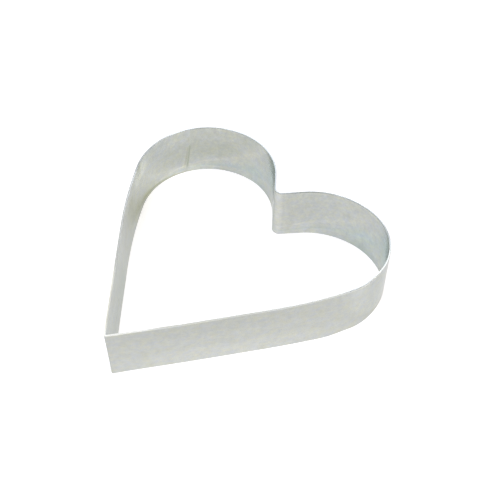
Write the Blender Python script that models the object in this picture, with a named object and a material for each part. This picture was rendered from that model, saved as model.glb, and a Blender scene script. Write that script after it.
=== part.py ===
"""Heart cake ring: one steel strip bent on edge into an open heart, its ends joined by a butt weld.

Metres, +Z up. The ring stands on its lower rim at z = 0 and is centred on the origin, with its tip
towards -Y and its cleft towards +Y. Every outline size is taken over the strip's outer face.
"""
import math
from dataclasses import dataclass

import bmesh
import bpy
from mathutils import Vector

# Strip
STRIP_HEIGHT = 0.045
WALL = 0.0012
EDGE_BREAK = 0.00015

# Heart
HEART_WIDTH = 0.205
HEART_LENGTH = 0.2024
CLEFT_DEPTH = 0.031  # from the tops of the lobes down to the cleft's fold
CLEFT_OFFSET = 0.0011  # the hand-bent cleft sits this far to the right of the middle

# Bends, as radii of the outer face
TIP_FOLD_RADIUS = 0.0015
CLEFT_FOLD_RADIUS = 0.004
BOW_RADIUS = 0.38
BOW_TURN = 9.8  # degrees that a side bows through before its shoulder
RIGHT_SHOULDER_RADIUS = 0.0454
LEFT_SHOULDER_RADIUS = 0.0542
CROWN_START = 85.5  # degrees from a lobe's widest point to where its crown begins
RIGHT_CLEFT_WALL = 0.0164  # straight stretch between the crown and the cleft's fold
LEFT_CLEFT_WALL = 0.0156

# Weld on the left shoulder
SEAM_ANGLE = 30.7  # degrees up from the left lobe's widest point
SEAM_LEAN = 8.0  # degrees that the seam's top leans towards the cleft
BEAD_WIDTH = 0.0018  # along the strip
BEAD_RISE = 0.00015  # the dressed bead stands this proud of both faces

# Facets and finish
CHORD_ERROR = 0.00002  # the most that a facet cuts inside its arc
BEAD_FACETS = 8
APPROACH_FACETS = 3  # on each side of the seam, from its leaning face to a square section
SAME_POINT = 0.000001
SMOOTH_BELOW = 30.0  # degrees between facets that are shaded as one surface
STRIP_COLOUR = (0.60, 0.61, 0.58, 1.0)
WELD_COLOUR = (0.47, 0.47, 0.40, 1.0)

# Places that follow from the sizes
TOP = HEART_LENGTH / 2
TIP_CENTRE = Vector((0, TIP_FOLD_RADIUS - HEART_LENGTH / 2))
FOLD_CENTRE = Vector((CLEFT_OFFSET, TOP - CLEFT_DEPTH + CLEFT_FOLD_RADIUS))
SEAM_NORMAL = math.pi - math.radians(SEAM_ANGLE)
SEAM_SLOPE = math.tan(math.radians(SEAM_LEAN))
SEAM_RUN = abs(SEAM_SLOPE) * STRIP_HEIGHT / 2 + 2 * BEAD_WIDTH  # half of the stretch kept for the seam


def normal_at(angle):
    """Unit vector in the plan, at an angle counter-clockwise from +X."""
    return Vector((math.cos(angle), math.sin(angle)))


def angle_of(vector):
    """Angle of a plan vector counter-clockwise from +X, never negative."""
    return math.atan2(vector.y, vector.x) % math.tau


@dataclass(frozen=True)
class Arc:
    """Round stretch of the outer face, between two angles of its outward normal.

    The radius is negative where the strip bends the other way, with its outer face inside the bend.
    """

    centre: Vector
    radius: float
    start: float
    end: float

    def mirrored(self):
        """The same stretch in the heart's left half, run through in the same sense."""
        centre = Vector((-self.centre.x, self.centre.y))
        return Arc(centre, self.radius, math.pi - self.end, math.pi - self.start)

    def stations(self):
        """Outer point and outward normal at the ends of all facets, with one at each quarter turn."""
        low, high = sorted((self.start, self.end))
        quarter = math.pi / 2
        turns = [turn * quarter for turn in range(math.floor(low / quarter) + 1, math.ceil(high / quarter))]
        stops = [low, *turns, high]
        facet = 2 * math.acos(1 - CHORD_ERROR / abs(self.radius))
        angles = [low]
        for here, there in zip(stops, stops[1:]):
            count = math.ceil((there - here) / facet)
            angles += [here + (there - here) * step / count for step in range(1, count + 1)]
        if self.end < self.start:
            angles.reverse()
        return [(self.centre + self.radius * normal_at(angle), normal_at(angle)) for angle in angles]


def crown_radius(shoulder_radius, cleft_wall, fold_centre):
    """Radius of the crown that leaves its shoulder at CROWN_START, peaks at TOP and meets the cleft wall.

    The wall is an inner tangent of the crown and the fold, so the two centres lie apart by the hypotenuse
    of the wall and both radii together. That is a quadratic in the crown's radius: its smaller root.
    """
    share = math.cos(math.radians(CROWN_START))
    across = HEART_WIDTH / 2 - shoulder_radius * (1 - share) - fold_centre.x
    down = TOP - fold_centre.y
    linear = across * share + down + CLEFT_FOLD_RADIUS
    constant = across**2 + down**2 - CLEFT_FOLD_RADIUS**2 - cleft_wall**2
    return constant / (linear + math.sqrt(linear**2 - share**2 * constant))


def half_arcs(shoulder_radius, cleft_wall, fold_centre):
    """Bow, shoulder and crown of a half at +X, from the tip to the cleft."""
    crown_start = math.radians(CROWN_START)
    crown = crown_radius(shoulder_radius, cleft_wall, fold_centre)
    growth = crown - shoulder_radius
    shoulder_x = HEART_WIDTH / 2 - shoulder_radius
    crown_centre = Vector((shoulder_x - growth * math.cos(crown_start), TOP - crown))
    shoulder_centre = crown_centre + growth * normal_at(crown_start)
    wall_turn = math.atan2(cleft_wall, crown + CLEFT_FOLD_RADIUS)
    crown_end = angle_of(fold_centre - crown_centre) - wall_turn

    # The side is a tangent of the tip's fold and of the bow, which turns by BOW_TURN into the shoulder.
    bow_turn = math.radians(BOW_TURN)
    slack = BOW_RADIUS - shoulder_radius
    behind_tip = BOW_RADIUS - TIP_FOLD_RADIUS - slack * math.cos(bow_turn)
    from_tip = shoulder_centre - TIP_CENTRE
    side_lean = math.acos(-behind_tip / from_tip.length) - angle_of(from_tip)
    shoulder_start = bow_turn - side_lean
    bow_centre = shoulder_centre - slack * normal_at(shoulder_start)
    return [
        Arc(bow_centre, BOW_RADIUS, -side_lean, shoulder_start),
        Arc(shoulder_centre, shoulder_radius, shoulder_start, crown_start),
        Arc(crown_centre, crown, crown_start, crown_end),
    ]


def heart_arcs():
    """All arcs of the outer face, counter-clockwise from one side of the seam to its other side.

    Straight stretches have no entry: each runs from one arc's end to the next one's start.
    """
    right = half_arcs(RIGHT_SHOULDER_RADIUS, RIGHT_CLEFT_WALL, FOLD_CENTRE)
    left_fold = Vector((-FOLD_CENTRE.x, FOLD_CENTRE.y))
    left = half_arcs(LEFT_SHOULDER_RADIUS, LEFT_CLEFT_WALL, left_fold)
    bow, shoulder, crown = [arc.mirrored() for arc in left]
    tip = Arc(TIP_CENTRE, TIP_FOLD_RADIUS, bow.end, right[0].start + math.tau)
    fold = Arc(FOLD_CENTRE, -CLEFT_FOLD_RADIUS, right[-1].end, crown.start)
    seam_turn = SEAM_RUN / shoulder.radius
    after_seam = Arc(shoulder.centre, shoulder.radius, SEAM_NORMAL + seam_turn, shoulder.end)
    before_seam = Arc(shoulder.centre, shoulder.radius, shoulder.start, SEAM_NORMAL - seam_turn)
    return [after_seam, bow, tip, *right, fold, crown, before_seam]


def strip_section(rise=0.0):
    """Corners of the strip's section, as depth in from the outer face and height, with broken edges.

    The rise moves both faces outwards, for the bead.
    """
    return [
        (EDGE_BREAK, 0),
        (WALL - EDGE_BREAK, 0),
        (WALL + rise, EDGE_BREAK),
        (WALL + rise, STRIP_HEIGHT - EDGE_BREAK),
        (WALL - EDGE_BREAK, STRIP_HEIGHT),
        (EDGE_BREAK, STRIP_HEIGHT),
        (-rise, STRIP_HEIGHT - EDGE_BREAK),
        (-rise, EDGE_BREAK),
    ]


def square_ring(point, normal):
    """The section square across the strip at a station."""
    ring = []
    for depth, height in strip_section():
        plan = point - depth * normal
        ring.append(Vector((plan.x, plan.y, height)))
    return ring


def seam_ring(shoulder, along, lean_share=1.0, rise=0.0):
    """The section at a distance along the strip from the seam's middle, leaning as the seam or less.

    With the whole lean all of its corners lie in one plane, which is the joint's face.
    """
    ring = []
    for depth, height in strip_section(rise):
        radius = shoulder.radius - depth
        shift = along - lean_share * SEAM_SLOPE * (height - STRIP_HEIGHT / 2)
        plan = shoulder.centre + radius * normal_at(SEAM_NORMAL + math.asin(shift / radius))
        ring.append(Vector((plan.x, plan.y, height)))
    return ring


def approach_rings(shoulder, side):
    """Rings on one side of the seam, from the joint's face outwards, each leaning less."""
    start = BEAD_WIDTH / 2
    rings = []
    for step in range(APPROACH_FACETS):
        share = step / APPROACH_FACETS
        rings.append(seam_ring(shoulder, side * (start + share * (SEAM_RUN - start)), 1 - share))
    return rings


def loft(rings):
    """Closed mesh through a row of rings that have the same number of corners."""
    bm = bmesh.new()
    rows = [[bm.verts.new(corner) for corner in ring] for ring in rings]
    for row, onward in zip(rows, rows[1:]):
        for corner in range(len(row)):
            bm.faces.new((row[corner - 1], row[corner], onward[corner], onward[corner - 1]))
    bm.faces.new(rows[0])
    bm.faces.new(rows[-1])
    bmesh.ops.remove_doubles(bm, verts=bm.verts, dist=SAME_POINT)
    bmesh.ops.recalc_face_normals(bm, faces=bm.faces)
    return bm


def steel(name, colour, roughness):
    """Bare metal in one finish."""
    material = bpy.data.materials.new(name)
    material.use_nodes = True
    shader = material.node_tree.nodes["Principled BSDF"]
    shader.inputs["Base Color"].default_value = colour
    shader.inputs["Metallic"].default_value = 1.0
    shader.inputs["Roughness"].default_value = roughness
    return material


def add_object(name, bm, material):
    """Puts a finished mesh into the scene as one named object."""
    mesh = bpy.data.meshes.new(name)
    bm.to_mesh(mesh)
    bm.free()
    mesh.shade_smooth()
    mesh.set_sharp_from_angle(angle=math.radians(SMOOTH_BELOW))
    mesh.materials.append(material)
    bpy.context.scene.collection.objects.link(bpy.data.objects.new(name, mesh))


def build_band(arcs):
    """The strip, from one side of the seam round the whole heart to the other side."""
    shoulder = arcs[0]
    rings = approach_rings(shoulder, 1)
    for arc in arcs:
        rings += [square_ring(point, normal) for point, normal in arc.stations()]
    rings += reversed(approach_rings(shoulder, -1))
    add_object("heart_band", loft(rings), steel("satin_strip", STRIP_COLOUR, 0.32))


def build_weld(arcs):
    """The bead between the strip's ends, flush at its sides and slightly crowned on both faces."""
    shoulder = arcs[0]
    rings = []
    for step in range(BEAD_FACETS + 1):
        side = 2 * step / BEAD_FACETS - 1
        rings.append(seam_ring(shoulder, side * BEAD_WIDTH / 2, rise=BEAD_RISE * (1 - side**2)))
    add_object("seam_weld", loft(rings), steel("dressed_weld", WELD_COLOUR, 0.45))


def main():
    """Empties the scene and builds the ring."""
    for leftover in list(bpy.data.objects):
        bpy.data.objects.remove(leftover)
    arcs = heart_arcs()
    build_band(arcs)
    build_weld(arcs)


main()
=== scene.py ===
"""Looks of the heart cake ring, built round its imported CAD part. Metres, in the part's own frame."""

import math
from collections import namedtuple

import bmesh
import bpy
import numpy as np
from mathutils import Matrix, Vector


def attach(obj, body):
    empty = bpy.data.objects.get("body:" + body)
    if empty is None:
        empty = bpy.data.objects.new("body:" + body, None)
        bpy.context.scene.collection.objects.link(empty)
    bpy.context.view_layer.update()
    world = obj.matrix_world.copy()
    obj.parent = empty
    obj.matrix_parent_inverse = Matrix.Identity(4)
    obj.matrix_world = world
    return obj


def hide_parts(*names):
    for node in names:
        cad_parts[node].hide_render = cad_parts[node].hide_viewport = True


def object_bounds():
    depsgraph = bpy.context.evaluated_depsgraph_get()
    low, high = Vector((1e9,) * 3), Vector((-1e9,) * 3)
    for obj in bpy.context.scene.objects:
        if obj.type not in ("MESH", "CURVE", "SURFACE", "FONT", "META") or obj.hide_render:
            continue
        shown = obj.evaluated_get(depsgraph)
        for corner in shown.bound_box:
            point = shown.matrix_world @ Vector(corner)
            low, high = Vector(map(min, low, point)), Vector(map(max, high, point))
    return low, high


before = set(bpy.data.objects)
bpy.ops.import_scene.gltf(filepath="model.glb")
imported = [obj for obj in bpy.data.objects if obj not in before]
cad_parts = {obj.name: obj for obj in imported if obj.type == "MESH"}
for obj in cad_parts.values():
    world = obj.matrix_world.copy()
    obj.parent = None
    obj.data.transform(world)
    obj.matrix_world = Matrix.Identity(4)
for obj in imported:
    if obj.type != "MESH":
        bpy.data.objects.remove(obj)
cad_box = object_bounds()

# The ring's own sizes, with its width, length and height from the CAD part
CAD_LOW, CAD_HIGH = cad_box
HEART_WIDTH = CAD_HIGH.x - CAD_LOW.x
TOP = CAD_HIGH.y
STRIP_HEIGHT = CAD_HIGH.z
WALL = 0.0012
CLEFT_DEPTH = 0.031
CLEFT_OFFSET = 0.0011
TIP_FOLD_RADIUS = 0.0015
CLEFT_FOLD_RADIUS = 0.004
BOW_RADIUS = 0.38
BOW_TURN = math.radians(9.8)
RIGHT_SHOULDER_RADIUS = 0.0454
LEFT_SHOULDER_RADIUS = 0.0542
CROWN_START = math.radians(85.5)
RIGHT_CLEFT_WALL = 0.0164
LEFT_CLEFT_WALL = 0.0156
TIP = Vector((0, CAD_LOW.y))
TIP_CENTRE = Vector((0, CAD_LOW.y + TIP_FOLD_RADIUS))
CLEFT = Vector((CLEFT_OFFSET, TOP - CLEFT_DEPTH))
FOLD_CENTRE = Vector((CLEFT_OFFSET, TOP - CLEFT_DEPTH + CLEFT_FOLD_RADIUS))

# The weld on the left shoulder
SEAM_NORMAL = math.pi - math.radians(30.7)
SEAM_SLOPE = math.tan(math.radians(8.0))
SEAM_RUN = 0.0068  # along the strip, until it no longer leans with the seam
BEAD_WIDTH = 0.0018
BEAD_LAP = 0.00025  # how far the bead's thin edge lies on the strip, on each side
BEAD_RISE = 0.00005
BEAD_SKIN = 0.00001  # the bead's thinnest edge
BEAD_WORN_REACH = 0.004  # from the rims, where the bead is worn down
BEAD_WORN_SHARE = 0.25  # of its rise that is left at the rims
RIPPLE_PITCH = 0.0011
RIPPLE_DEPTH = 0.35  # of the bead's rise
RIPPLE_BOW = 0.35  # of the pitch, by which a ripple's ends lie higher than its middle
BEAD_WANDERS = (  # reach, turn for each metre of height, and phase
    (0.00008, 900.0, 0.0),
    (0.00005, 2300.0, 1.0),
)

# Unevenness of the hand-bent strip: how far its faces lie inside the plain outline, at most
SWAY = 0.00007
SWAY_WAVES = (  # share, turn for each metre of strip, phase, and its gain from half height to the rim
    (0.5, 61.0, 0.7, 0.0),
    (0.3, 143.0, 2.1, 1.3),
    (0.2, 251.0, 4.0, -2.2),
)
FOLD_DISH = 0.00012  # the strip's middle is drawn in where it folds, at the tip and the cleft
FOLD_DISH_REACH = 0.012
BEND_MARK = 0.00005  # shallow marks of the bending bar beside the cleft
BEND_MARK_PITCH = 0.0042
BEND_MARK_REACH = 0.012

# Where the strip leans: its middle and reach along the strip, and how far in its top and its foot stand.
# Below zero they stand out.
LEANS = (
    (0.228, 0.025, 0.0, 0.0002),
    (0.260, 0.024, -0.0003, 0.0),
    (0.280, 0.045, -0.0004, -0.0002),
    (0.348, 0.020, -0.0002, -0.0005),
    (0.352, 0.030, -0.0003, 0.0),
    (0.364, 0.014, 0.0, -0.0012),
    (0.386, 0.010, 0.0, -0.0003),
    (0.402, 0.012, 0.0007, 0.0001),
    (0.434, 0.018, 0.0, -0.0013),
    (0.444, 0.014, -0.0003, 0.0),
    (0.492, 0.030, 0.0, 0.0006),
    (0.562, 0.020, -0.0003, 0.0),
    (0.602, 0.030, 0.0, 0.0007),
)

# Fineness of the outline's table and of the mesh
TABLE_STEP = 0.0001
TABLE_TURN = 0.01
STEP = 0.002
FACET_TURN = math.radians(1.4)
FOLD_FACET_TURN = math.radians(4)
FOLD_LENGTH = 0.01  # a bend that is shorter and turns by more than FOLD_TURN is a fold
FOLD_TURN = 1.0
HAIR = 1e-7  # a stretch of the outline that is shorter gets no corners of its own
ARRIS = 0.00016  # radius of the strip's worn edges
ARRIS_FACETS = 4
EDGE_ROWS = (2 * ARRIS, 5 * ARRIS)  # from each rim, the two outermost rows of corners on a face
ROW = 0.0032
SHARP = math.radians(40)
RIM_FACING = 0.5  # a face that looks up or down by more than this is part of the cut edge
BEAD_STEP = 0.0002
BEAD_POINTS = 13  # across each side of the bead

# Camera, fitted to the photograph's edges
AZIMUTH = math.radians(39.8367)
ELEVATION = math.radians(50.3827)
ROLL = math.radians(1.6078)
DISTANCE = 0.615686
TARGET = Vector((0.010426, 0.028809, 0.0225))
LENS = 60.925
SENSOR = 36.0
CLIP_START = 0.01
CLIP_END = 50.0

# Colours, linear
STEEL = (0.506, 0.531, 0.493, 1.0)
STEEL_WARM = (0.527, 0.541, 0.462, 1.0)
STEEL_COOL = (0.493, 0.521, 0.535, 1.0)
STEEL_DULL = (0.458, 0.480, 0.443, 1.0)
LILAC = (1.020, 0.985, 1.020)  # factor of the faint spots
STRAW = (0.500, 0.500, 0.410, 1.0)
WELD = (0.395, 0.418, 0.345, 1.0)
# The cut edge's own colour, then painted highlights and painted shade for stretches of its rim
RIM = (0.40, 0.41, 0.39, 1.0)
RIM_PAINTED_HIGHLIGHT = (0.70, 0.71, 0.69, 1.0)
RIM_PAINTED_SHEEN = (0.535, 0.54, 0.50, 1.0)
RIM_PAINTED_GREY = (0.37, 0.38, 0.365, 1.0)
RIM_SHADED = (0.26, 0.27, 0.255, 1.0)
RIM_PAINTED_DARK = (0.19, 0.20, 0.18, 1.0)
GRAZING_TINT = (0.755, 0.765, 0.755, 1.0)  # of a mirror's brightness, where a face is seen at a low angle
RIM_GRAZING_TINT = (0.45, 0.46, 0.45, 1.0)

# Noises: how often each changes per metre along the strip, up it and through it, its detail and roughness.
# Across the bead the first of them counts per half of its width.
STEEL_NOISES = {
    "clouds": ((18.0, 40.0, 900.0), 3.0, 0.6),
    "patches": ((150.0, 190.0, 900.0), 3.0, 0.7),
    "blotches": ((185.0, 165.0, 900.0), 3.0, 0.65),
    "spots": ((300.0, 370.0, 900.0), 2.0, 0.6),
    "flecks": ((420.0, 520.0, 900.0), 2.0, 0.6),
    "grain": ((90.0, 3200.0, 3000.0), 2.0, 0.6),
    "fine": ((900.0, 9000.0, 9000.0), 1.0, 0.5),
    "scratches": ((60.0, 2100.0, 700.0), 1.0, 0.4),
}
EDGE_NOISES = {
    "shear": ((6000.0, 200.0, 300.0), 2.0, 0.6),
    "wear": ((120.0, 100.0, 400.0), 2.0, 0.5),
}
WELD_NOISES = {
    "specks": ((1.5, 2600.0, 900.0), 3.0, 0.6),
}

# What the noises add to a colour's brightness, to the roughness and to the relief
STEEL_MOTTLE = {"flecks": 0.06, "blotches": 0.11}
INNER_MOTTLE = 0.45  # how much more mottle the inner face has
STEEL_TONE = {"grain": 0.03, "fine": 0.06, "scratches": -0.03}
EDGE_TONE = {"shear": 0.04, "wear": 0.05}
WELD_TONE = {"specks": 0.03}
STEEL_ROUGHNESS = 0.21
STEEL_ROUGHENED = {"clouds": 0.03, "grain": 0.03, "scratches": 0.08}
EDGE_ROUGHNESS = 0.30
EDGE_ROUGHENED = {"shear": 0.05}
WELD_ROUGHNESS = 0.27
WELD_ROUGHENED = {"specks": 0.05}
STEEL_RELIEF = {"grain": 1.0, "fine": 0.5}
STEEL_BUMP = (0.25, 0.00001)  # strength and height
EDGE_BUMP = (0.30, 0.00001)
WELD_BUMP = (0.25, 0.00002)
STEEL_ANISOTROPY = 0.35

# Changes on the steel. A pair holds the noise's values at which a change begins and is full.
COOL_TO_WARM = (-0.45, 0.45)
HUE_FLECKS = 0.3  # of the flecks, added to the patches, in the change from cool to warm
PLAIN_SHARE = 0.12  # of the plain steel over that change
DULL_CLOUDS = (0.0, 0.6)
DULL_SHARE = 0.35
LILAC_SPOTS = (0.05, 0.55)
SCRATCHED = (0.62, 0.85)
FACE_CHANGE = (0.3 * WALL, 0.7 * WALL)  # depth in the strip, from the outer face's looks to the inner's

# Stretches of the rim, as distances along the strip, with painted highlights where it is lighter and painted
# shade where it is darker.
# Where two of them meet, the later one lies over the earlier.
RIM_PAINTED_LIGHT = (
    (-0.006, 0.003, RIM_SHADED),
    (0.016, 0.066, RIM_SHADED),
    (0.066, 0.150, RIM_PAINTED_GREY),
    (0.158, 0.210, RIM_PAINTED_SHEEN),
    (0.205, 0.262, RIM_PAINTED_HIGHLIGHT),
    (0.245, 0.374, RIM_PAINTED_SHEEN),
    (0.399, 0.428, RIM_PAINTED_SHEEN),
    (0.436, 0.624, RIM_SHADED),
    (0.497, 0.527, RIM_PAINTED_DARK),
    (0.624, 0.654, RIM_PAINTED_DARK),
)
RIM_BLEND = 0.006

# A painted highlight on the outer face along the front, just below the rim
PAINTED_HIGHLIGHT_STRETCH = (0.215, 0.392)
PAINTED_HIGHLIGHT_BELOW_RIM = (0.0009, 0.0003)  # where it begins, and where it is full
PAINTED_HIGHLIGHT_FACTOR = (1.42, 1.42, 1.42)

# Painted reflections and shade on the faces: lighter and darker patches stand in for the lit and shaded
# floor that the faces mirror, and darker ones along the feet are painted shade. A patch's middle runs along
# a curve, start + pull / (height + PULL_BASE) along the strip, where distances beyond UNWRAP count back from
# the seam. It has a reach to each side, a lowest and highest place, and a factor for red, green and blue.
# One from FOOT or up to OVER has no soft end there.
UNWRAP = 0.55
PULL_BASE = 0.0034
REFLECTION_BLEND = 0.005
FOOT = -0.010
OVER = 0.060
INNER_PAINTED_REFLECTIONS = (
    # From the tip along the left side
    (0.180, 0.0, 0.016, 0.034, OVER, (0.940, 0.930, 0.940)),
    (0.168, 0.0, 0.060, FOOT, OVER, (0.925, 0.925, 0.920)),
    (0.160, 0.0, 0.030, 0.010, OVER, (0.955, 0.965, 0.960)),
    (0.142, 0.0, 0.018, FOOT, 0.019, (0.910, 0.945, 0.915)),
    (0.110, 0.0, 0.024, 0.020, OVER, (0.895, 0.890, 0.885)),
    (0.098, -0.00036, 0.022, FOOT, 0.037, (0.785, 0.787, 0.660)),
    # The left shoulder, up to the seam
    (0.072, -0.00062, 0.019, FOOT, OVER, (1.075, 1.070, 1.045)),
    (0.068, 0.0, 0.016, FOOT, 0.018, (0.940, 0.940, 0.870)),
    (0.067, 0.0, 0.017, 0.029, OVER, (1.070, 1.070, 1.060)),
    (0.055, 0.0, 0.021, 0.030, OVER, (1.260, 1.250, 1.240)),
    (0.054, 0.0, 0.020, FOOT, 0.005, (0.860, 0.860, 0.840)),
    (0.045, 0.0, 0.018, FOOT, 0.010, (1.000, 1.000, 0.900)),
    (0.020, 0.0, 0.022, 0.010, 0.030, (0.950, 0.950, 0.940)),
    (0.010, 0.0, 0.024, 0.034, OVER, (1.070, 1.065, 1.040)),
    (0.006, 0.0, 0.030, FOOT, 0.006, (1.150, 1.140, 1.120)),
    # The left lobe, from the seam towards the cleft
    (-0.012, 0.0, 0.052, 0.0135, 0.031, (0.910, 0.912, 0.870)),
    (-0.036, 0.0, 0.028, 0.018, OVER, (0.965, 0.963, 0.930)),
    (-0.036, 0.0, 0.028, FOOT, 0.0035, (0.820, 0.830, 0.835)),
    (-0.056, 0.0, 0.016, 0.034, OVER, (0.915, 0.930, 0.920)),
    (-0.062, 0.0, 0.022, FOOT, 0.020, (0.965, 1.000, 1.010)),
    (-0.070, 0.0, 0.028, FOOT, 0.0035, (0.815, 0.830, 0.840)),
    (-0.071, 0.0, 0.014, 0.010, 0.020, (1.080, 1.050, 1.055)),
    (-0.084, 0.00092, 0.010, FOOT, OVER, (1.085, 1.065, 1.060)),
    (-0.087, 0.0, 0.011, 0.022, OVER, (1.270, 1.270, 1.260)),
    (-0.092, 0.0, 0.020, 0.015, OVER, (0.955, 1.030, 1.035)),
    (-0.112, 0.00080, 0.024, FOOT, OVER, (0.915, 0.955, 0.970)),
    # The right lobe, towards the cleft
    (0.421, 0.00085, 0.022, FOOT, OVER, (0.935, 0.970, 0.985)),
    (0.434, 0.0, 0.019, 0.012, 0.036, (0.915, 1.030, 1.040)),
    (0.436, 0.00121, 0.010, FOOT, OVER, (1.050, 1.040, 1.040)),
    (0.437, 0.0, 0.010, 0.033, OVER, (1.440, 1.450, 1.470)),
    (0.438, 0.00058, 0.010, FOOT, OVER, (1.045, 1.040, 1.050)),
    (0.462, 0.0, 0.028, FOOT, 0.0045, (0.840, 0.860, 0.870)),
    (0.466, 0.0, 0.026, FOOT, 0.022, (0.960, 1.000, 1.010)),
    (0.472, 0.0, 0.024, FOOT, 0.009, (0.920, 0.935, 0.935)),
    (0.492, 0.0, 0.018, FOOT, 0.003, (0.850, 0.860, 0.870)),
    (0.518, 0.0, 0.018, 0.018, 0.034, (0.955, 0.950, 0.945)),
    (0.520, 0.0, 0.020, FOOT, 0.013, (1.040, 1.030, 1.020)),
    # The fold of the cleft and the strip just before it
    (0.5285, 0.0, 0.0060, FOOT, OVER, (0.955, 0.955, 0.960)),
    (0.5345, 0.0, 0.0014, FOOT, OVER, (0.965, 0.965, 0.970)),
    (0.5375, 0.0, 0.0045, FOOT, OVER, (1.060, 1.050, 1.045)),
    (0.5435, 0.0, 0.0050, FOOT, OVER, (0.920, 0.945, 0.965)),
)
# Painted reflections on the outer face along the front: darker towards the top, lighter towards the foot
OUTER_PAINTED_REFLECTIONS = (
    (0.280, 0.0, 0.130, 0.030, OVER, (0.942, 0.942, 0.940)),
    (0.290, 0.0, 0.120, FOOT, 0.015, (1.078, 1.072, 1.078)),
    (0.376, 0.00030, 0.014, FOOT, OVER, (1.060, 1.060, 1.060)),
)

# The weld's colours. Its dark stretch lies on the inner face, and the strip is darkened beside it.
DARK_WELD = (0.0066, 0.0286)
HEAT_BLEND = 0.0026
HEAT_MARK_SHIFT = 0.0005  # along the strip, from the seam's middle to the darkened strip's
HEAT_MARK = (0.0001, 0.0023)  # how far from there it is full, and where it ends
HEAT_FACTOR = (0.86, 0.86, 0.80)
STRAW_REACH = (0.0008, 0.0045)
STRAW_SHARE = 0.2
WELD_RIDGE = (0.45, 1.0)  # of half the bead's width: how far out its dark is full, and where it ends
WELD_DRIFT = 0.0015  # by which the specks shift the ends of the dark stretch
OUTER_WELD_SHARE = 0.25  # of the dark, on the outer face
BEAD_END_BELOW_RIM = (2 * ARRIS, ARRIS / 2)  # where the bead begins to look like the rim, and does so fully

# The floor glows by FLOOR_GLOW about the ring, and as plain white from FLOOR_FAR on
FLOOR_SIZE = 8.0
FLOOR_CELLS = 4
FLOOR_DROP = 0.00002
FLOOR_COLOUR = (0.60, 0.60, 0.60, 1.0)
FLOOR_ROUGHNESS = 0.9
FLOOR_GLOW = 0.68
FLOOR_NEAR = 0.4
FLOOR_FAR = 1.2
WHITE = 1.0  # strength with which a white glow looks plain white
WORLD_COLOUR = (1.0, 1.0, 1.0, 1.0)
WORLD_LIGHT = 0.11

# Softboxes: name, azimuth and elevation in degrees, distance, side, power, colour
SOFTBOXES = (
    ("front_softbox", 16.0, 55.0, 1.3, 0.3, 7.3, (0.885, 0.870, 1.0)),
    ("warm_right_softbox", 120.0, 34.0, 1.3, 0.4, 5.6, (1.0, 0.85, 0.72)),
    ("cool_back_softbox", 210.0, 30.0, 1.3, 0.8, 8.8, (0.77, 0.835, 1.0)),
    ("warm_left_softbox", 270.0, 42.0, 1.3, 0.8, 2.2, (1.0, 0.91, 0.70)),
)

# Part of the outline. Its start and end are angles of its outward normal, which points to the centre where
# the radius is negative.
Arc = namedtuple("Arc", "centre radius start end")


def normal_at(angle):
    """Unit vector in the plan, at an angle counter-clockwise from +X."""
    return Vector((math.cos(angle), math.sin(angle)))


def angle_of(vector):
    """Angle of a plan vector counter-clockwise from +X, never negative."""
    return math.atan2(vector.y, vector.x) % math.tau


def crown_radius(shoulder_radius, cleft_wall, fold_centre):
    """Radius with which a crown touches its shoulder, the lobes' top line and the cleft's wall."""
    share = math.cos(CROWN_START)
    across = HEART_WIDTH / 2 - shoulder_radius * (1 - share) - fold_centre.x
    down = TOP - fold_centre.y
    # It solves share**2 * radius**2 - 2 * linear * radius + constant = 0
    linear = across * share + down + CLEFT_FOLD_RADIUS
    constant = across**2 + down**2 - CLEFT_FOLD_RADIUS**2 - cleft_wall**2
    return constant / (linear + math.sqrt(linear**2 - share**2 * constant))


def half_arcs(shoulder_radius, cleft_wall, fold_centre):
    """Bow, shoulder and crown of a half at +X, as the CAD part's outline has them."""
    crown = crown_radius(shoulder_radius, cleft_wall, fold_centre)
    growth = crown - shoulder_radius
    shoulder_x = HEART_WIDTH / 2 - shoulder_radius
    crown_centre = Vector((shoulder_x - growth * math.cos(CROWN_START), TOP - crown))
    shoulder_centre = crown_centre + growth * normal_at(CROWN_START)
    wall_turn = math.atan2(cleft_wall, crown + CLEFT_FOLD_RADIUS)
    crown_end = angle_of(fold_centre - crown_centre) - wall_turn
    slack = BOW_RADIUS - shoulder_radius
    behind_tip = BOW_RADIUS - TIP_FOLD_RADIUS - slack * math.cos(BOW_TURN)
    from_tip = shoulder_centre - TIP_CENTRE
    side_lean = math.acos(-behind_tip / from_tip.length) - angle_of(from_tip)
    shoulder_start = BOW_TURN - side_lean
    bow_centre = shoulder_centre - slack * normal_at(shoulder_start)
    return [
        Arc(bow_centre, BOW_RADIUS, -side_lean, shoulder_start),
        Arc(shoulder_centre, shoulder_radius, shoulder_start, CROWN_START),
        Arc(crown_centre, crown, CROWN_START, crown_end),
    ]


def mirrored(arc):
    """The same arc in the heart's left half, run through in the same sense."""
    centre = Vector((-arc.centre.x, arc.centre.y))
    return Arc(centre, arc.radius, math.pi - arc.end, math.pi - arc.start)


def heart_arcs():
    """All arcs of the outer face, counter-clockwise from the seam's middle round to it again."""
    right = half_arcs(RIGHT_SHOULDER_RADIUS, RIGHT_CLEFT_WALL, FOLD_CENTRE)
    left_fold = Vector((-FOLD_CENTRE.x, FOLD_CENTRE.y))
    left = half_arcs(LEFT_SHOULDER_RADIUS, LEFT_CLEFT_WALL, left_fold)
    bow, shoulder, crown = [mirrored(arc) for arc in left]
    tip = Arc(TIP_CENTRE, TIP_FOLD_RADIUS, bow.end, right[0].start + math.tau)
    fold = Arc(FOLD_CENTRE, -CLEFT_FOLD_RADIUS, right[-1].end, crown.start)
    first = shoulder._replace(start=SEAM_NORMAL)
    last = shoulder._replace(end=SEAM_NORMAL)
    return [first, bow, tip, *right, fold, crown, last]


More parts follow.
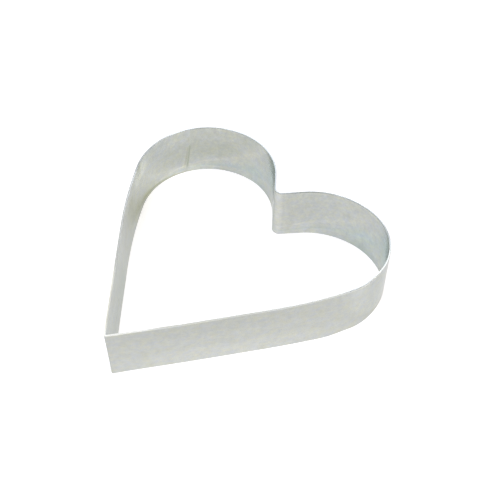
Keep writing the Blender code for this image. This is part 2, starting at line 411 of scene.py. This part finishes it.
class Outline:
    """The outer face in plan, as a table of close points along it."""

    def __init__(self, arcs):
        rows, self.stops, length = [], [], 0.0
        for centre, radius, start, end in arcs:
            if rows:
                last = Vector(rows[-1][1:3])
                length += (centre + radius * normal_at(start) - last).length
            self.stops.append(length)
            span = abs(radius * (end - start))
            count = max(2, math.ceil(span / TABLE_STEP), math.ceil(abs(end - start) / TABLE_TURN))
            for step in range(count + 1):
                angle = start + (end - start) * step / count
                point = centre + radius * normal_at(angle)
                rows.append((length + span * step / count, *point, math.cos(angle), math.sin(angle)))
            length += span
            self.stops.append(length)
        self.table = np.array(rows)
        self.length = length

    def at(self, distance):
        """Points and outward normals at distances from the seam's middle, counter-clockwise."""
        s, *columns = self.table.T
        x, y, nx, ny = [np.interp(distance % self.length, s, column) for column in columns]
        size = np.hypot(nx, ny)
        return x, y, nx / size, ny / size

    def nearest(self, point):
        """Distance along the strip to the place nearest to a point."""
        s, x, y = self.table.T[:3]
        return float(s[np.argmin(np.hypot(x - point.x, y - point.y))])


OUTLINE = Outline(heart_arcs())
TIP_AT = OUTLINE.nearest(TIP)
CLEFT_AT = OUTLINE.nearest(CLEFT)


def stations():
    """Distances along the strip for the rings of its mesh, from one side of the seam to the other."""
    ends = [BEAD_WIDTH / 2, *OUTLINE.stops[1:-1], OUTLINE.length - BEAD_WIDTH / 2]
    found = [ends[0]]
    for low, high in zip(ends, ends[1:]):
        length = high - low
        if length < HAIR:
            continue
        _, _, nx, ny = OUTLINE.at(np.array([low + HAIR, high - HAIR]))
        turn = math.acos(max(-1, min(1, nx[0] * nx[1] + ny[0] * ny[1])))
        facet = FOLD_FACET_TURN if turn > FOLD_TURN and length < FOLD_LENGTH else FACET_TURN
        count = max(math.ceil(length / STEP), math.ceil(turn / facet))
        found += [low + length * step / count for step in range(1, count + 1)]
    return np.array(found)


def arris(depth, height, first):
    """Corners of a rounded edge about its centre, from an angle in the section and a quarter turn on."""
    turns = [first + math.pi / 2 * step / ARRIS_FACETS for step in range(ARRIS_FACETS + 1)]
    return [(depth + ARRIS * math.cos(turn), height + ARRIS * math.sin(turn)) for turn in turns]


def face_heights():
    """Heights of the rows of corners on a face, closer beside the rims."""
    first, second = EDGE_ROWS
    span = STRIP_HEIGHT - 2 * first
    count = math.ceil(span / ROW)
    between = [first + span * step / count for step in range(1, count)]
    return [first, second, *between, STRIP_HEIGHT - second, STRIP_HEIGHT - first]


def strip_section():
    """Corners of the strip's section as (depth in from the outer face, height), with rounded edges."""
    inner, high = WALL - ARRIS, STRIP_HEIGHT - ARRIS
    corners = arris(inner, ARRIS, -math.pi / 2)
    corners += [(WALL, height) for height in face_heights()]
    corners += arris(inner, high, 0)
    corners += [(WALL / 2, STRIP_HEIGHT)]
    corners += arris(ARRIS, high, math.pi / 2)
    corners += [(0.0, height) for height in reversed(face_heights())]
    corners += arris(ARRIS, ARRIS, math.pi)
    corners += [(WALL / 2, 0.0)]
    return np.array(corners)


def bell(value, middle, reach):
    """1 at the middle, falling smoothly to nothing a few reaches away."""
    return np.exp(-((value - middle) / reach) ** 2)


def inset(s, height):
    """How far the hand-bent strip lies inside its plain outline."""
    across = 2 * height / STRIP_HEIGHT - 1
    waves = sum(
        share * np.sin(s * pace + phase + twist * across)
        for share, pace, phase, twist in SWAY_WAVES
    )
    dish = FOLD_DISH * (bell(s, TIP_AT, FOLD_DISH_REACH) + bell(s, CLEFT_AT, FOLD_DISH_REACH))
    marks = 0.5 - 0.5 * np.cos((s - CLEFT_AT) * math.tau / BEND_MARK_PITCH)
    total = SWAY * (0.5 + 0.5 * waves) + dish * (1 - across**2)
    total = total + BEND_MARK * bell(s, CLEFT_AT, BEND_MARK_REACH) * marks
    for middle, reach, top, foot in LEANS:
        total = total + bell(s, middle, reach) * (foot + (top - foot) * height / STRIP_HEIGHT)
    return total


def on_strip(along, depth, height, sway_at):
    """Points at distances along the strip, depths in from its outer face and heights.

    They are as uneven as the strip is at the distance sway_at.
    """
    x, y, nx, ny = OUTLINE.at(along)
    inward = depth + inset(sway_at, height)
    return np.stack([x - inward * nx, y - inward * ny, height], -1)


def seam_lean(s):
    """Share of the seam's lean that the strip's mesh has at a distance."""
    from_end = np.minimum(s, OUTLINE.length - s) - BEAD_WIDTH / 2
    return np.clip(1 - from_end / SEAM_RUN, 0, 1)


def tube_faces(rings, size):
    """Faces between so many rings of corners, each of one size, and a face over each end."""
    faces = []
    for ring in range(rings - 1):
        row, following = ring * size, (ring + 1) * size
        for corner in range(size):
            onward = (corner + 1) % size
            faces.append((row + corner, row + onward, following + onward, following + corner))
    faces.append(tuple(range(size)))
    faces.append(tuple(range((rings - 1) * size, rings * size)))
    return faces


def add_object(name, corners, faces, strip):
    """A smooth mesh, with each corner's place on the strip kept as an attribute and a UV map."""
    mesh = bpy.data.meshes.new(name)
    mesh.from_pydata(corners.tolist(), [], faces)
    kept = mesh.attributes.new("strip", "FLOAT_VECTOR", "POINT")
    kept.data.foreach_set("vector", strip.astype(np.float32).ravel())
    layer = mesh.uv_layers.new(name="along_strip")
    index = np.empty(len(mesh.loops), np.int32)
    mesh.loops.foreach_get("vertex_index", index)
    around = np.stack([strip[:, 0], strip[:, 1] + strip[:, 2]], -1)[index]
    layer.uv.foreach_set("vector", around.astype(np.float32).ravel())
    bm = bmesh.new()
    bm.from_mesh(mesh)
    bmesh.ops.recalc_face_normals(bm, faces=bm.faces)
    for face in bm.faces:
        face.smooth = True
    for edge in bm.edges:
        edge.smooth = edge.calc_face_angle(0) < SHARP
    bm.to_mesh(mesh)
    bm.free()
    made = bpy.data.objects.new(name, mesh)
    bpy.context.scene.collection.objects.link(made)
    return made


def build_band():
    """The strip, from one side of the seam round the heart to the other side."""
    section, distances = strip_section(), stations()
    s = np.repeat(distances, len(section))
    depth, height = np.tile(section, (len(distances), 1)).T
    along = s - seam_lean(s) * SEAM_SLOPE * (height - STRIP_HEIGHT / 2)
    corners = on_strip(along, depth, height, s)
    faces = tube_faces(len(distances), len(section))
    return add_object("heart_band_strip", corners, faces, np.stack([s, height, depth], -1))


def bead_rise(across, height):
    """How far the bead stands proud of a face: ripples, worn down towards both rims."""
    crown = np.clip(1 - across**2, 0, 1)
    wave = np.cos(math.tau * (height / RIPPLE_PITCH - RIPPLE_BOW * across**2))
    ripples = 1 - RIPPLE_DEPTH * (0.5 + 0.5 * wave)
    worn = np.clip(np.minimum(height, STRIP_HEIGHT - height) / BEAD_WORN_REACH, BEAD_WORN_SHARE, 1)
    return BEAD_SKIN + BEAD_RISE * crown * ripples * worn


def arris_recess(height):
    """How far the strip's rounded edges take its faces in, at a height."""
    from_rim = min(height, STRIP_HEIGHT - height, ARRIS)
    return ARRIS - math.sqrt(max(ARRIS**2 - (ARRIS - from_rim) ** 2, 0))


def build_bead():
    """The weld bead: a crowned, rippled ribbon on both faces, closed through the strip."""
    levels = np.linspace(0, STRIP_HEIGHT, math.ceil(STRIP_HEIGHT / BEAD_STEP) + 1)
    across = np.linspace(-1, 1, BEAD_POINTS)
    corners, strip = [], []
    for level in levels:
        height = np.full(BEAD_POINTS, level)
        wander = sum(reach * math.sin(level * pace + phase) for reach, pace, phase in BEAD_WANDERS)
        seam = wander - SEAM_SLOPE * (level - STRIP_HEIGHT / 2)
        for side, face, proud in ((across, 0.0, -1), (across[::-1], WALL, 1)):
            depth = face + proud * (bead_rise(side, level) - arris_recess(level))
            along = side * (BEAD_WIDTH / 2 + BEAD_LAP) + seam
            corners.append(on_strip(along, depth, height, np.zeros(BEAD_POINTS)))
            strip.append(np.stack([side, height, depth], -1))
    faces = tube_faces(len(levels), 2 * BEAD_POINTS)
    return add_object("seam_weld_bead", np.concatenate(corners), faces, np.concatenate(strip))


class Graph:
    """Short calls for the nodes of a material or of the world."""

    def __init__(self, owner, shader="Principled BSDF"):
        owner.use_nodes = True
        self.owner = owner
        self.tree = owner.node_tree
        self.shader = self.tree.nodes[shader]

    def feed(self, socket, value):
        """A socket linked to another node's output, or set to a plain value."""
        if isinstance(value, bpy.types.NodeSocket):
            self.tree.links.new(value, socket)
        else:
            socket.default_value = value

    def node(self, kind, inputs=(), **settings):
        """A new node with its settings and its inputs."""
        made = self.tree.nodes.new("ShaderNode" + kind)
        for name, value in settings.items():
            setattr(made, name, value)
        for socket, value in dict(inputs).items():
            self.feed(made.inputs[socket], value)
        return made

    def math(self, operation, *values):
        return self.node("Math", dict(enumerate(values)), operation=operation).outputs[0]

    def product(self, first, *others):
        """All values multiplied."""
        for other in others:
            first = self.math("MULTIPLY", first, other)
        return first

    def soft(self, value, low, high):
        """0 below low, 1 above high, smooth between."""
        inputs = {0: value, 1: low, 2: high, 3: 0.0, 4: 1.0}
        return self.node("MapRange", inputs, interpolation_type="SMOOTHSTEP").outputs[0]

    def fading(self, value, low, high):
        """1 below low, 0 above high, smooth between."""
        return self.math("SUBTRACT", 1.0, self.soft(value, low, high))

    def stretch(self, value, start, end, blend):
        """1 between start and end, 0 beyond them, smooth over a blend about each."""
        begun = self.soft(value, start - blend, start + blend)
        return self.product(begun, self.fading(value, end - blend, end + blend))

    def near_rim(self, height, start, full):
        """0 as far as start below the rim, 1 from full below it on, smooth between."""
        return self.soft(height, STRIP_HEIGHT - start, STRIP_HEIGHT - full)

    def strip(self):
        """The strip's place as a vector, and its parts: distance along the strip, height, and depth in."""
        read = self.node("Attribute", attribute_name="strip")
        split = self.node("SeparateXYZ", {0: read.outputs["Vector"]})
        return read.outputs["Vector"], *split.outputs

    def scaled(self, vector, factor):
        """A vector or colour times a factor for each of its parts."""
        return self.node("VectorMath", {0: vector, 1: factor}, operation="MULTIPLY").outputs[0]

    def noise(self, vector, scale, detail, roughness):
        """Noise from about -1 to 1, with its grain stretched by a scale for each direction."""
        place_on = self.scaled(vector, scale)
        inputs = {"Vector": place_on, "Scale": 1.0, "Detail": detail, "Roughness": roughness}
        made = self.node("TexNoise", inputs)
        return self.math("MULTIPLY_ADD", made.outputs[0], 2.0, -1.0)

    def noises(self, vector, kinds):
        """A noise for each kind, by its name."""
        return {name: self.noise(vector, *kind) for name, kind in kinds.items()}

    def total(self, start, noises, shares):
        """A start value plus the named noises, each by its share."""
        for name, share in shares.items():
            start = self.math("MULTIPLY_ADD", noises[name], share, start)
        return start

    def mix(self, share, first, second):
        """A colour between two others."""
        return self.node("Mix", {0: share, 6: first, 7: second}, data_type="RGBA").outputs[2]

    def tinted(self, colour, weight, factor):
        """A colour times a factor for each channel, as far as a weight says."""
        return self.mix(weight, colour, self.scaled(colour, factor))

    def shade(self, colour, share):
        """A colour made lighter or darker by a share."""
        factor = self.math("ADD", share, 1.0)
        return self.node("VectorMath", {0: colour, 3: factor}, operation="SCALE").outputs[0]

    def metal(self, colour, grazing_tint, roughness):
        """Bare metal with a colour, its tint at low angles and its roughness."""
        self.feed(self.shader.inputs["Base Color"], colour)
        self.feed(self.shader.inputs["Metallic"], 1.0)
        self.feed(self.shader.inputs["Specular Tint"], grazing_tint)
        self.feed(self.shader.inputs["Roughness"], roughness)

    def bump(self, relief, strength, height):
        """Fine relief over the whole surface."""
        made = self.node("Bump", {"Height": relief, "Strength": strength, "Distance": height})
        self.feed(self.shader.inputs["Normal"], made.outputs[0])

    def seen_or_lit(self):
        """1 for camera, glossy and transmission rays, and 0 for the rest."""
        rays = self.node("LightPath").outputs
        seen = self.math("MAXIMUM", rays["Is Camera Ray"], rays["Is Glossy Ray"])
        return self.math("MAXIMUM", seen, rays["Is Transmission Ray"])


def mottled_steel(g, noises):
    """The steel's own colour: cool and warm patches, duller clouds and faint lilac spots."""
    hue = g.math("MULTIPLY_ADD", noises["flecks"], HUE_FLECKS, noises["patches"])
    colour = g.mix(g.soft(hue, *COOL_TO_WARM), STEEL_COOL, STEEL_WARM)
    colour = g.mix(PLAIN_SHARE, colour, STEEL)
    dull = g.product(g.soft(noises["clouds"], *DULL_CLOUDS), DULL_SHARE)
    colour = g.mix(dull, colour, STEEL_DULL)
    return g.tinted(colour, g.soft(noises["spots"], *LILAC_SPOTS), LILAC)


def paint_face_reflections(g, colour, from_seam, height, face, painted_patches):
    """The painted reflections and painted shade of one face over a colour."""
    for start, pull, reach, low, high, factor in painted_patches:
        middle = g.math("ADD", start, g.math("DIVIDE", pull, g.math("ADD", height, PULL_BASE)))
        away = g.math("ABSOLUTE", g.math("SUBTRACT", from_seam, middle))
        weight = g.product(face, g.fading(away, 0.0, reach), g.stretch(height, low, high, REFLECTION_BLEND))
        colour = g.tinted(colour, weight, factor)
    return colour


def paint_highlight_below_rim(g, colour, along, height, outer):
    """A painted highlight on the outer face just below the rim."""
    glint = g.near_rim(height, *PAINTED_HIGHLIGHT_BELOW_RIM)
    glint = g.product(glint, g.stretch(along, *PAINTED_HIGHLIGHT_STRETCH, RIM_BLEND), outer)
    return g.tinted(colour, glint, PAINTED_HIGHLIGHT_FACTOR)


def heat_beside_weld(g, colour, from_seam, height, inner):
    """The straw tint about the seam, and the darkened strip beside the weld's dark stretch."""
    lean = g.product(g.math("SUBTRACT", height, STRIP_HEIGHT / 2), SEAM_SLOPE)
    from_weld = g.math("ADD", from_seam, lean)
    heat = g.fading(g.math("ABSOLUTE", from_weld), *STRAW_REACH)
    colour = g.mix(g.product(heat, STRAW_SHARE), colour, STRAW)
    beside = g.math("ABSOLUTE", g.math("SUBTRACT", from_weld, HEAT_MARK_SHIFT))
    mark = g.product(g.fading(beside, *HEAT_MARK), inner, g.stretch(height, *DARK_WELD, HEAT_BLEND))
    return g.tinted(colour, mark, HEAT_FACTOR)


def steel_material():
    """Satin strip steel: mottled, with painted reflections, shade and highlight, its grain and some
    scratches along the strip.
    """
    g = Graph(bpy.data.materials.new("satin_strip_steel"))
    place_on, along, height, depth = g.strip()
    turned = g.product(g.math("GREATER_THAN", along, UNWRAP), OUTLINE.length)
    from_seam = g.math("SUBTRACT", along, turned)
    inner, outer = g.soft(depth, *FACE_CHANGE), g.fading(depth, *FACE_CHANGE)
    noises = g.noises(place_on, STEEL_NOISES)
    noises["scratches"] = g.soft(noises["scratches"], *SCRATCHED)
    colour = mottled_steel(g, noises)
    # painted reflections and painted shade on the inner and outer faces
    colour = paint_face_reflections(g, colour, from_seam, height, inner, INNER_PAINTED_REFLECTIONS)
    colour = paint_face_reflections(g, colour, from_seam, height, outer, OUTER_PAINTED_REFLECTIONS)
    # painted highlight just below the front rim
    colour = paint_highlight_below_rim(g, colour, along, height, outer)
    colour = heat_beside_weld(g, colour, from_seam, height, inner)
    mottle = g.total(0.0, noises, STEEL_MOTTLE)
    mottle = g.product(mottle, g.math("MULTIPLY_ADD", inner, INNER_MOTTLE, 1.0))
    tone = g.total(mottle, noises, STEEL_TONE)
    g.metal(g.shade(colour, tone), GRAZING_TINT, g.total(STEEL_ROUGHNESS, noises, STEEL_ROUGHENED))
    g.bump(g.total(0.0, noises, STEEL_RELIEF), *STEEL_BUMP)
    g.feed(g.shader.inputs["Anisotropic"], STEEL_ANISOTROPY)
    tangent = g.node("Tangent", direction_type="UV_MAP", uv_map="along_strip")
    g.feed(g.shader.inputs["Tangent"], tangent.outputs[0])
    return g.owner


def edge_material():
    """The strip's cut edge: fine shear marks across it, with painted highlights in some places and painted
    shade in others.
    """
    g = Graph(bpy.data.materials.new("cut_edge_steel"))
    place_on, along, _, _ = g.strip()
    noises = g.noises(place_on, EDGE_NOISES)
    colour = RIM
    # painted highlights and painted shade along the rim
    for start, end, painted_level in RIM_PAINTED_LIGHT:
        colour = g.mix(g.stretch(along, start, end, RIM_BLEND), colour, painted_level)
    colour = g.shade(colour, g.total(0.0, noises, EDGE_TONE))
    g.metal(colour, RIM_GRAZING_TINT, g.total(EDGE_ROUGHNESS, noises, EDGE_ROUGHENED))
    g.bump(noises["shear"], *EDGE_BUMP)
    return g.owner


def weld_material():
    """The dressed bead: near the strip's own colour, with a dark olive stretch on the inner face."""
    g = Graph(bpy.data.materials.new("dressed_weld_steel"))
    place_on, across, height, depth = g.strip()
    noises = g.noises(place_on, WELD_NOISES)
    drift = g.math("MULTIPLY_ADD", noises["specks"], WELD_DRIFT, height)
    ridge = g.fading(g.math("ABSOLUTE", across), *WELD_RIDGE)
    inner = g.soft(depth, *FACE_CHANGE)
    share = g.math("MULTIPLY_ADD", inner, 1 - OUTER_WELD_SHARE, OUTER_WELD_SHARE)
    dark = g.product(g.stretch(drift, *DARK_WELD, HEAT_BLEND), ridge, share)
    colour = g.mix(dark, g.mix(STRAW_SHARE, STEEL, STRAW), WELD)
    # the bead's top takes the rim's painted shade
    colour = g.mix(g.near_rim(height, *BEAD_END_BELOW_RIM), colour, RIM_SHADED)
    colour = g.shade(colour, g.total(0.0, noises, WELD_TONE))
    g.metal(colour, GRAZING_TINT, g.total(WELD_ROUGHNESS, noises, WELD_ROUGHENED))
    g.bump(noises["specks"], *WELD_BUMP)
    return g.owner


def finish_pieces():
    """Both pieces with their materials, in place of their CAD nodes."""
    band, bead = build_band(), build_bead()
    band.data.materials.append(steel_material())
    band.data.materials.append(edge_material())
    for face in band.data.polygons:
        if abs(face.normal.z) > RIM_FACING:
            face.material_index = 1
    bead.data.materials.append(weld_material())
    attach(band, "root")
    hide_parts("heart_band")
    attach(bead, "root")
    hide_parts("seam_weld")


def floor_material():
    """Pale and matt, with a glow that shows it white to the camera and keeps the ring's shadow."""
    g = Graph(bpy.data.materials.new("white_floor"))
    g.feed(g.shader.inputs["Base Color"], FLOOR_COLOUR)
    g.feed(g.shader.inputs["Roughness"], FLOOR_ROUGHNESS)
    g.feed(g.shader.inputs["Specular IOR Level"], 0.0)
    place_on = g.node("TexCoord").outputs["Object"]
    away = g.node("VectorMath", {0: place_on}, operation="LENGTH").outputs["Value"]
    level = g.node("MapRange", {0: away, 1: FLOOR_NEAR, 2: FLOOR_FAR, 3: FLOOR_GLOW, 4: WHITE}).outputs[0]
    glow = g.node("Emission", {"Strength": g.product(g.seen_or_lit(), level)})
    both = g.node("AddShader", {0: g.shader.outputs[0], 1: glow.outputs[0]})
    g.feed(g.tree.nodes["Material Output"].inputs[0], both.outputs[0])
    return g.owner


def build_floor():
    """The floor that the ring stands on."""
    bm = bmesh.new()
    bmesh.ops.create_grid(bm, x_segments=FLOOR_CELLS, y_segments=FLOOR_CELLS, size=FLOOR_SIZE / 2)
    mesh = bpy.data.meshes.new("floor")
    bm.to_mesh(mesh)
    bm.free()
    mesh.materials.append(floor_material())
    floor = bpy.data.objects.new("floor", mesh)
    floor.location.z = -FLOOR_DROP
    bpy.context.scene.collection.objects.link(floor)


def build_world():
    """Plain white surroundings, dimmer as a light than as they are seen."""
    g = Graph(bpy.data.worlds.new("studio"), "Background")
    g.feed(g.shader.inputs["Color"], WORLD_COLOUR)
    strength = g.node("MapRange", {0: g.seen_or_lit(), 3: WORLD_LIGHT, 4: WHITE})
    g.feed(g.shader.inputs["Strength"], strength.outputs[0])
    bpy.context.scene.world = g.owner


def towards(azimuth, elevation):
    """Unit vector from the ring to an azimuth, counted from -Y towards +X, and an elevation."""
    flat = math.cos(elevation)
    return Vector((math.sin(azimuth) * flat, -math.cos(azimuth) * flat, math.sin(elevation)))


def add_softbox(name, azimuth, elevation, distance, side, power, colour):
    """A square area light that faces the ring."""
    light = bpy.data.lights.new(name, "AREA")
    light.shape = "SQUARE"
    light.size = side
    light.energy = power
    light.color = colour
    box = bpy.data.objects.new(name, light)
    back = towards(math.radians(azimuth), math.radians(elevation))
    box.location = back * distance
    box.rotation_mode = "QUATERNION"
    box.rotation_quaternion = back.to_track_quat("Z", "Y")
    bpy.context.scene.collection.objects.link(box)


def add_camera():
    """The photograph's camera."""
    camera = bpy.data.cameras.new("camera")
    camera.lens = LENS
    camera.sensor_width = SENSOR
    camera.clip_start = CLIP_START
    camera.clip_end = CLIP_END
    back = towards(AZIMUTH, ELEVATION)
    right = Vector((math.cos(AZIMUTH), math.sin(AZIMUTH), 0))
    up = back.cross(right)
    rolled = math.cos(ROLL) * right + math.sin(ROLL) * up
    upright = math.cos(ROLL) * up - math.sin(ROLL) * right
    made = bpy.data.objects.new("camera", camera)
    turn = Matrix((rolled, upright, back)).transposed()
    made.matrix_world = Matrix.Translation(TARGET + back * DISTANCE) @ turn.to_4x4()
    bpy.context.scene.collection.objects.link(made)
    bpy.context.scene.camera = made


finish_pieces()
build_floor()
build_world()
for softbox in SOFTBOXES:
    add_softbox(*softbox)
add_camera()
bpy.context.scene.view_settings.view_transform = "Standard"
